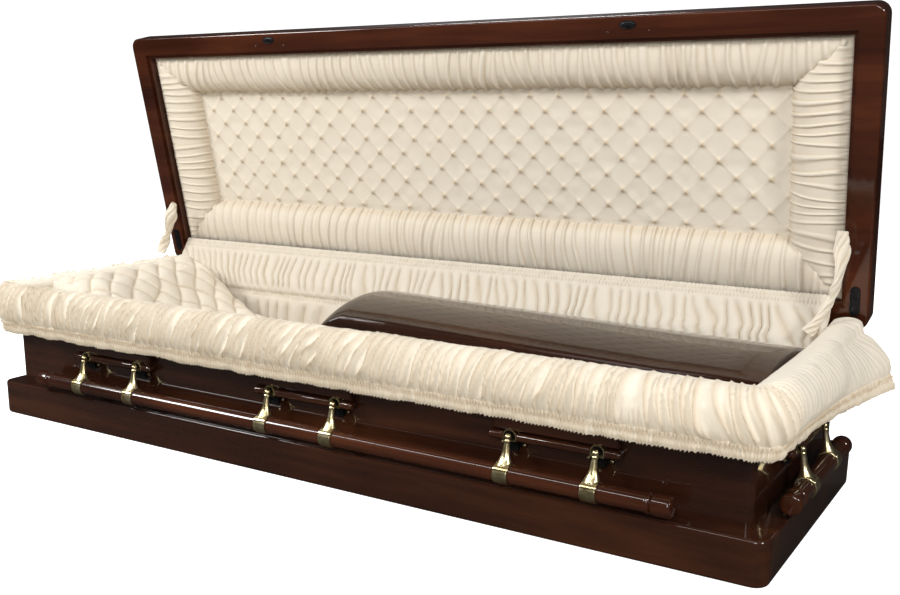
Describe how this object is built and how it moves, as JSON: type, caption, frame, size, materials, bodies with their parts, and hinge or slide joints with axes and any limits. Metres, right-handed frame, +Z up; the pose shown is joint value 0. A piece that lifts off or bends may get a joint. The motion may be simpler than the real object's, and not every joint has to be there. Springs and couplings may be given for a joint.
{
  "type": "funeral casket",
  "caption": "Full-couch wooden funeral casket with a hinged one-piece lid, a gathered cloth lining, a quilted pillow, a loose foot cover and swing-bar handles.",
  "frame": {"origin": "middle of the underside, on the bottom board", "axes": "+X along the casket from the head end to the foot end, +Y to the hinge side, +Z up"},
  "size_m": [2.2564, 0.915, 1.0564],
  "materials": {
    "polished_wood": "mahogany, high gloss lacquer",
    "inner_wood": "bare board",
    "polished_brass": "pale, polished",
    "dark_metal": "dark, satin",
    "lining_cloth": "ivory crepe, gathered"
  },
  "bodies": {
    "casket": {"base_moulding": "polished_wood", "bottom_board": "inner_wood", "front_wall": "polished_wood", "back_wall": "polished_wood", "head_wall": "polished_wood", "foot_wall": "polished_wood", "rim_moulding": "polished_wood", "handle_panel_front_1": "polished_wood", "handle_panel_front_2": "polished_wood", "handle_panel_front_3": "polished_wood", "handle_panel_back_1": "polished_wood", "handle_panel_back_2": "polished_wood", "handle_panel_back_3": "polished_wood", "handle_panel_head": "polished_wood", "handle_panel_foot": "polished_wood", "mattress": "lining_cloth", "pillow": "lining_cloth", "foot_cover": "polished_wood", "side_lining": "lining_cloth", "rear_lining": "lining_cloth", "overthrow": "lining_cloth", "stay_sleeve_head": "lining_cloth", "stay_sleeve_foot": "lining_cloth", "hinge_leaf_fixed_1": "polished_brass", "hinge_leaf_fixed_2": "polished_brass", "hinge_leaf_fixed_3": "polished_brass"},
    "lid": {"lid_frame": "polished_wood", "lid_crown": "polished_wood", "lid_roll": "lining_cloth", "lid_tufted_panel": "lining_cloth", "catch_plate_head": "dark_metal", "catch_plate_foot": "dark_metal", "stay_bracket_head": "dark_metal", "stay_bracket_foot": "dark_metal", "hinge_leaf_moving_1": "polished_brass", "hinge_leaf_moving_2": "polished_brass", "hinge_leaf_moving_3": "polished_brass"},
    "front_handle": {"bar_front": "polished_wood", "arm_front_1": "polished_brass", "arm_front_2": "polished_brass", "arm_front_3": "polished_brass", "arm_front_4": "polished_brass", "arm_front_5": "polished_brass", "arm_front_6": "polished_brass"},
    "back_handle": {"bar_back": "polished_wood", "arm_back_1": "polished_brass", "arm_back_2": "polished_brass", "arm_back_3": "polished_brass", "arm_back_4": "polished_brass", "arm_back_5": "polished_brass", "arm_back_6": "polished_brass"},
    "head_handle": {"bar_head": "polished_wood", "arm_head_1": "polished_brass", "arm_head_2": "polished_brass"},
    "foot_handle": {"bar_foot": "polished_wood", "arm_foot_1": "polished_brass", "arm_foot_2": "polished_brass"}
  },
  "joints": [
    {"name": "lid_hinge", "type": "hinge", "parent": "casket", "child": "lid", "pos_m": [0, 0.3508, 0.3495], "axis": [1, 0, 0], "range_deg": [0, 78], "deforming": ["overthrow", "pillow", "rear_lining", "stay_sleeve_head", "stay_sleeve_foot"]},
    {"name": "front_bar_swing", "type": "hinge", "parent": "casket", "child": "front_handle", "pos_m": [0, -0.342, 0.196], "axis": [-1, 0, 0], "range_deg": [0, 60]},
    {"name": "back_bar_swing", "type": "hinge", "parent": "casket", "child": "back_handle", "pos_m": [0, 0.342, 0.196], "axis": [1, 0, 0], "range_deg": [0, 60]},
    {"name": "head_bar_swing", "type": "hinge", "parent": "casket", "child": "head_handle", "pos_m": [-1.054, 0, 0.196], "axis": [0, 1, 0], "range_deg": [0, 60]},
    {"name": "foot_bar_swing", "type": "hinge", "parent": "casket", "child": "foot_handle", "pos_m": [1.054, 0, 0.196], "axis": [0, -1, 0], "range_deg": [0, 60]}
  ]
}
